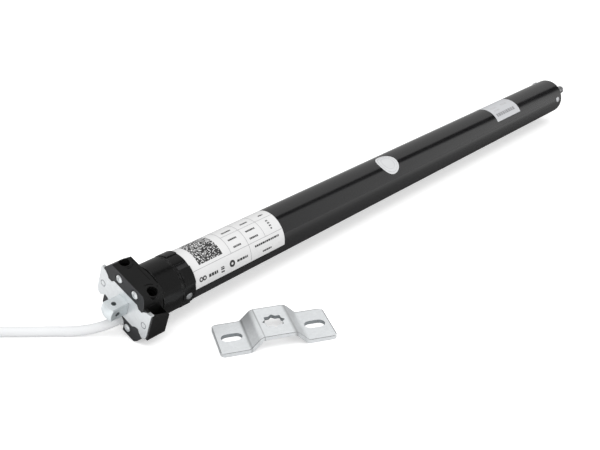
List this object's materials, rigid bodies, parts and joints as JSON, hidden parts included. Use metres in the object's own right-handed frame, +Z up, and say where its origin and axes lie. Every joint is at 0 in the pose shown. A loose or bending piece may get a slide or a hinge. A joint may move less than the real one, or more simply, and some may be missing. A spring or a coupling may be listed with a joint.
{
  "type": "tubular roller blind motor",
  "caption": "Black tubular motor for roller blinds with a plated mounting plate, square stub, mechanical limit head and loose star-hole wall bracket.",
  "frame": {"origin": "on the motor axis, in the front face of the mounting plate, at the root of the square stub", "axes": "+X along the motor axis towards the output shaft, +Z up from the table the motor lies on"},
  "size_m": [0.7917, 0.249, 0.0503],
  "materials": {
    "zinc_plate": "satin",
    "black_plastic": "satin",
    "black_tube": "satin",
    "steel": "brushed",
    "adjuster_black": "matte",
    "white_cable": "satin",
    "ivory_plastic": "matte",
    "yellow_plastic": "satin",
    "red_plastic": "satin",
    "board": "satin",
    "foam": "matte",
    "capacitor_white": "satin",
    "leads": "satin",
    "cast_zinc": "cast",
    "laminated_iron": "matte",
    "copper": "enamelled",
    "brake_lining": "matte",
    "sintered_steel": "satin",
    "bronze": "satin",
    "paper_label": "satin"
  },
  "bodies": {
    "motor": {"mounting_plate": "zinc_plate", "square_stub": "zinc_plate", "head_cover": "black_plastic", "head_housing": "black_plastic", "cover_screws": "zinc_plate", "cable_grommet": "white_cable", "switch_carrier": "ivory_plastic", "switch_pins": "steel", "limit_switch_up": "black_plastic", "limit_switch_down": "black_plastic", "terminal_board": "board", "motor_tube": "black_tube", "tube_collar": "black_plastic", "tube_rivets": "black_tube", "run_capacitor": "capacitor_white", "capacitor_rings": "foam", "inner_leads": "leads", "brake_housing": "cast_zinc", "brake_spring": "steel", "rear_bell": "cast_zinc", "front_bell": "cast_zinc", "rear_bearing": "steel", "front_bearing": "steel", "stator_core": "laminated_iron", "stator_winding": "copper", "ring_gear": "sintered_steel", "output_bearing": "bronze", "end_cap": "black_plastic", "tube_screws": "zinc_plate", "supply_cable": "white_cable", "cable_coil": "white_cable", "cable_cores": "leads", "cable_tie": "adjuster_black"},
    "rotor": {"rotor_core": "laminated_iron", "rotor_shaft": "steel", "brake_disc": "brake_lining"},
    "carrier_1": {"carrier_1": "sintered_steel"},
    "carrier_2": {"carrier_2": "sintered_steel"},
    "output": {"output_shaft": "steel"},
    "crown": {"crown_ring": "black_plastic"},
    "pinion": {"crown_pinion": "yellow_plastic"},
    "disc_up_a": {"counter_disc_up_a": "red_plastic"},
    "disc_up_b": {"counter_disc_up_b": "yellow_plastic"},
    "disc_down_a": {"counter_disc_down_a": "red_plastic"},
    "disc_down_b": {"counter_disc_down_b": "yellow_plastic"},
    "adjuster_up": {"limit_adjuster_up": "adjuster_black"},
    "adjuster_down": {"limit_adjuster_down": "adjuster_black"},
    "plunger_up": {"switch_plunger_up": "red_plastic"},
    "plunger_down": {"switch_plunger_down": "red_plastic"},
    "armature": {"brake_armature": "steel"},
    "bracket": {"wall_bracket": "zinc_plate"},
    "planet_1a": {"planet_1a": "sintered_steel"},
    "planet_1b": {"planet_1b": "sintered_steel"},
    "planet_1c": {"planet_1c": "sintered_steel"},
    "planet_2a": {"planet_2a": "sintered_steel"},
    "planet_2b": {"planet_2b": "sintered_steel"},
    "planet_2c": {"planet_2c": "sintered_steel"},
    "planet_3a": {"planet_3a": "sintered_steel"},
    "planet_3b": {"planet_3b": "sintered_steel"},
    "planet_3c": {"planet_3c": "sintered_steel"}
  },
  "joints": [
    {"name": "rotor_spin", "type": "hinge", "parent": "motor", "child": "rotor", "pos_m": [0.3956, 0, 0], "axis": [1, 0, 0], "continuous": true},
    {"name": "carrier_1_spin", "type": "hinge", "parent": "motor", "child": "carrier_1", "pos_m": [0.4714, 0, 0], "axis": [1, 0, 0], "continuous": true},
    {"name": "planet_1a_spin", "type": "hinge", "parent": "carrier_1", "child": "planet_1a", "pos_m": [0.4626, 0.0084, 0], "axis": [1, 0, 0], "continuous": true},
    {"name": "planet_1b_spin", "type": "hinge", "parent": "carrier_1", "child": "planet_1b", "pos_m": [0.4626, -0.0042, 0.00728], "axis": [1, 0, 0], "continuous": true},
    {"name": "planet_1c_spin", "type": "hinge", "parent": "carrier_1", "child": "planet_1c", "pos_m": [0.4626, -0.0042, -0.00728], "axis": [1, 0, 0], "continuous": true},
    {"name": "carrier_2_spin", "type": "hinge", "parent": "motor", "child": "carrier_2", "pos_m": [0.4994, 0, 0], "axis": [1, 0, 0], "continuous": true},
    {"name": "planet_2a_spin", "type": "hinge", "parent": "carrier_2", "child": "planet_2a", "pos_m": [0.4876, 0.0084, 0], "axis": [1, 0, 0], "continuous": true},
    {"name": "planet_2b_spin", "type": "hinge", "parent": "carrier_2", "child": "planet_2b", "pos_m": [0.4876, -0.0042, 0.00728], "axis": [1, 0, 0], "continuous": true},
    {"name": "planet_2c_spin", "type": "hinge", "parent": "carrier_2", "child": "planet_2c", "pos_m": [0.4876, -0.0042, -0.00728], "axis": [1, 0, 0], "continuous": true},
    {"name": "output_spin", "type": "hinge", "parent": "motor", "child": "output", "pos_m": [0.5334, 0, 0], "axis": [1, 0, 0], "continuous": true},
    {"name": "planet_3a_spin", "type": "hinge", "parent": "output", "child": "planet_3a", "pos_m": [0.5186, 0.0084, 0], "axis": [1, 0, 0], "continuous": true},
    {"name": "planet_3b_spin", "type": "hinge", "parent": "output", "child": "planet_3b", "pos_m": [0.5186, -0.0042, 0.00728], "axis": [1, 0, 0], "continuous": true},
    {"name": "planet_3c_spin", "type": "hinge", "parent": "output", "child": "planet_3c", "pos_m": [0.5186, -0.0042, -0.00728], "axis": [1, 0, 0], "continuous": true},
    {"name": "crown_spin", "type": "hinge", "parent": "motor", "child": "crown", "pos_m": [0.0264, 0, 0], "axis": [1, 0, 0], "continuous": true},
    {"name": "pinion_spin", "type": "hinge", "parent": "motor", "child": "pinion", "pos_m": [0.0356, -0.0089, -0.0036], "axis": [1, 0, 0], "continuous": true},
    {"name": "disc_up_a_spin", "type": "hinge", "parent": "motor", "child": "disc_up_a", "pos_m": [0.0393, 0, 0], "axis": [1, 0, 0], "continuous": true},
    {"name": "disc_up_b_spin", "type": "hinge", "parent": "motor", "child": "disc_up_b", "pos_m": [0.0441, 0, 0], "axis": [1, 0, 0], "continuous": true},
    {"name": "disc_down_a_spin", "type": "hinge", "parent": "motor", "child": "disc_down_a", "pos_m": [0.0464, 0, 0], "axis": [1, 0, 0], "continuous": true},
    {"name": "disc_down_b_spin", "type": "hinge", "parent": "motor", "child": "disc_down_b", "pos_m": [0.0512, 0, 0], "axis": [1, 0, 0], "continuous": true},
    {"name": "adjuster_up_spin", "type": "hinge", "parent": "motor", "child": "adjuster_up", "pos_m": [0.0079, -0.02085, 0.01423], "axis": [0, -0.5592, 0.829], "continuous": true},
    {"name": "adjuster_down_spin", "type": "hinge", "parent": "motor", "child": "adjuster_down", "pos_m": [0.0079, 0.00511, 0.02472], "axis": [0, -0.1736, 0.9848], "continuous": true},
    {"name": "plunger_up_slide", "type": "slide", "parent": "motor", "child": "plunger_up", "axis": [0, -0.3746, 0.9272], "range_m": [0, 0.0006], "stiffness_N_per_m": 400},
    {"name": "plunger_down_slide", "type": "slide", "parent": "motor", "child": "plunger_down", "axis": [0, -0.3746, 0.9272], "range_m": [0, 0.0006], "stiffness_N_per_m": 400},
    {"name": "brake_release", "type": "slide", "parent": "motor", "child": "armature", "axis": [-1, 0, 0], "range_m": [0, 0.0006], "stiffness_N_per_m": 4000, "springref_m": -0.0015},
    {"name": "bracket_lift", "type": "slide", "parent": "motor", "child": "bracket", "axis": [0, 0, 1], "range_m": [0, 0.12]}
  ],
  "couplings": [
    {"joint": "carrier_1_spin", "follows": "rotor_spin", "ratio": 0.25},
    {"joint": "planet_1a_spin", "follows": "rotor_spin", "ratio": -0.75},
    {"joint": "planet_1b_spin", "follows": "rotor_spin", "ratio": -0.75},
    {"joint": "planet_1c_spin", "follows": "rotor_spin", "ratio": -0.75},
    {"joint": "carrier_2_spin", "follows": "rotor_spin", "ratio": 0.0625},
    {"joint": "planet_2a_spin", "follows": "rotor_spin", "ratio": -0.1875},
    {"joint": "planet_2b_spin", "follows": "rotor_spin", "ratio": -0.1875},
    {"joint": "planet_2c_spin", "follows": "rotor_spin", "ratio": -0.1875},
    {"joint": "output_spin", "follows": "rotor_spin", "ratio": 0.015625},
    {"joint": "planet_3a_spin", "follows": "rotor_spin", "ratio": -0.046875},
    {"joint": "planet_3b_spin", "follows": "rotor_spin", "ratio": -0.046875},
    {"joint": "planet_3c_spin", "follows": "rotor_spin", "ratio": -0.046875},
    {"joint": "pinion_spin", "follows": "crown_spin", "ratio": 3},
    {"joint": "disc_up_a_spin", "follows": "crown_spin", "ratio": -1.8},
    {"joint": "disc_up_b_spin", "follows": "crown_spin", "ratio": -1.5714},
    {"joint": "disc_down_a_spin", "follows": "crown_spin", "ratio": -1.8},
    {"joint": "disc_down_b_spin", "follows": "crown_spin", "ratio": -1.5714}
  ]
}
